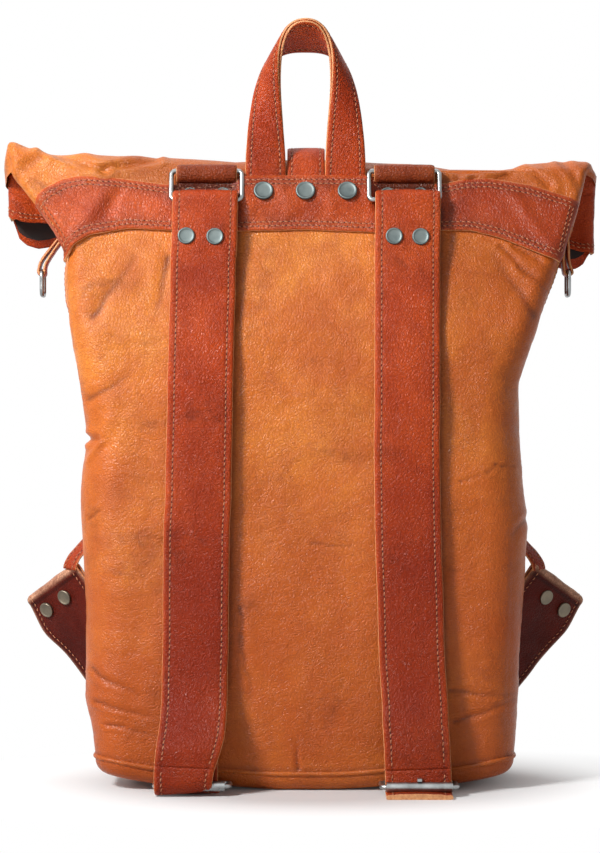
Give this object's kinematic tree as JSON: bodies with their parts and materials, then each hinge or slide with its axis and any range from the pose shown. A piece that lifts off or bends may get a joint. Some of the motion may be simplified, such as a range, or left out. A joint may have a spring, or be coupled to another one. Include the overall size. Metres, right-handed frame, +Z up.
{
  "type": "leather backpack",
  "caption": "Tall leather backpack with a fold-over top, looped handle, two shoulder straps on wire rings, base buckles, side wings and a riveted yoke.",
  "frame": {"origin": "middle of the flat underside that the bag stands on, on the floor", "axes": "+Z up, +X to the right seen from the strap side, +Y from the strap side to the front panel"},
  "size_m": [0.41, 0.16, 0.5401],
  "materials": {
    "tan_leather": "semi-gloss, waxed and scuffed",
    "brown_leather": "semi-gloss, waxed",
    "nickel": "worn nickel",
    "lining_cloth": "dark cotton",
    "fibre_board": "pressed fibre"
  },
  "bodies": {
    "bag": {"base_panel": "tan_leather", "back_shell": "tan_leather", "front_shell": "tan_leather", "crest_strip": "tan_leather", "base_piping": "brown_leather", "side_welts": "brown_leather", "yoke": "brown_leather", "closure_anchor": "brown_leather", "snap_patch": "brown_leather", "left_chape": "brown_leather", "left_side_strap": "brown_leather", "left_side_tab": "brown_leather", "left_wing": "brown_leather", "left_base_chape": "brown_leather", "left_strap_tail": "brown_leather", "right_chape": "brown_leather", "right_side_strap": "brown_leather", "right_side_tab": "brown_leather", "right_wing": "brown_leather", "right_base_chape": "brown_leather", "right_strap_tail": "brown_leather", "yoke_rivets": "nickel", "chape_rivets": "nickel", "wing_rivets": "nickel", "base_rivets": "nickel", "snap_post": "nickel", "left_buckle_frame": "nickel", "right_buckle_frame": "nickel", "lining": "lining_cloth", "base_board": "fibre_board"},
    "fold_top": {"fold_leather": "tan_leather", "mouth_far": "brown_leather", "mouth_near": "brown_leather", "mouth_sides": "brown_leather", "closure_turn": "brown_leather"},
    "closure": {"closure_strap": "brown_leather", "snap_cap": "nickel"},
    "handle": {"handle_outer": "brown_leather", "handle_inner": "brown_leather"},
    "left_shoulder_strap": {"left_strap": "brown_leather", "left_ring": "nickel", "left_strap_rivets": "nickel"},
    "left_side_ring_body": {"left_side_ring": "nickel"},
    "left_roller_body": {"left_roller": "nickel"},
    "left_tongue_body": {"left_tongue": "nickel"},
    "right_shoulder_strap": {"right_strap": "brown_leather", "right_ring": "nickel", "right_strap_rivets": "nickel"},
    "right_side_ring_body": {"right_side_ring": "nickel"},
    "right_roller_body": {"right_roller": "nickel"},
    "right_tongue_body": {"right_tongue": "nickel"}
  },
  "joints": [
    {"name": "fold_top_open", "type": "hinge", "parent": "bag", "child": "fold_top", "pos_m": [0, -0.013, 0.4345], "axis": [1, 0, 0], "range_deg": [0, 110]},
    {"name": "closure_lift", "type": "hinge", "parent": "fold_top", "child": "closure", "pos_m": [0, 0.001, 0.43805], "axis": [1, 0, 0], "range_deg": [0, 80]},
    {"name": "handle_fold", "type": "hinge", "parent": "bag", "child": "handle", "pos_m": [0, -0.0355, 0.4311], "axis": [1, 0, 0], "range_deg": [-5, 95], "stiffness_Nm_per_rad": 0.08},
    {"name": "left_strap_swing", "type": "hinge", "parent": "bag", "child": "left_shoulder_strap", "pos_m": [-0.0695, -0.03808, 0.43347], "axis": [-1, 0, 0], "range_deg": [0, 25]},
    {"name": "left_side_ring_swing", "type": "hinge", "parent": "bag", "child": "left_side_ring_body", "pos_m": [-0.18708, -0.01906, 0.364], "axis": [0, 1, 0], "range_deg": [0, 80]},
    {"name": "left_roller_spin", "type": "hinge", "parent": "bag", "child": "left_roller_body", "pos_m": [-0.078, -0.082, 0.0069], "axis": [1, 0, 0], "continuous": true},
    {"name": "left_tongue_lift", "type": "hinge", "parent": "bag", "child": "left_tongue_body", "pos_m": [-0.078, -0.0655, 0.0066], "axis": [-1, 0, 0], "range_deg": [0, 8]},
    {"name": "right_strap_swing", "type": "hinge", "parent": "bag", "child": "right_shoulder_strap", "pos_m": [0.0695, -0.03808, 0.43347], "axis": [-1, 0, 0], "range_deg": [0, 25]},
    {"name": "right_side_ring_swing", "type": "hinge", "parent": "bag", "child": "right_side_ring_body", "pos_m": [0.18708, -0.01906, 0.364], "axis": [0, -1, 0], "range_deg": [0, 80]},
    {"name": "right_roller_spin", "type": "hinge", "parent": "bag", "child": "right_roller_body", "pos_m": [0.078, -0.086, 0.0069], "axis": [1, 0, 0], "continuous": true},
    {"name": "right_tongue_lift", "type": "hinge", "parent": "bag", "child": "right_tongue_body", "pos_m": [0.078, -0.0655, 0.0066], "axis": [-1, 0, 0], "range_deg": [0, 8]}
  ]
}
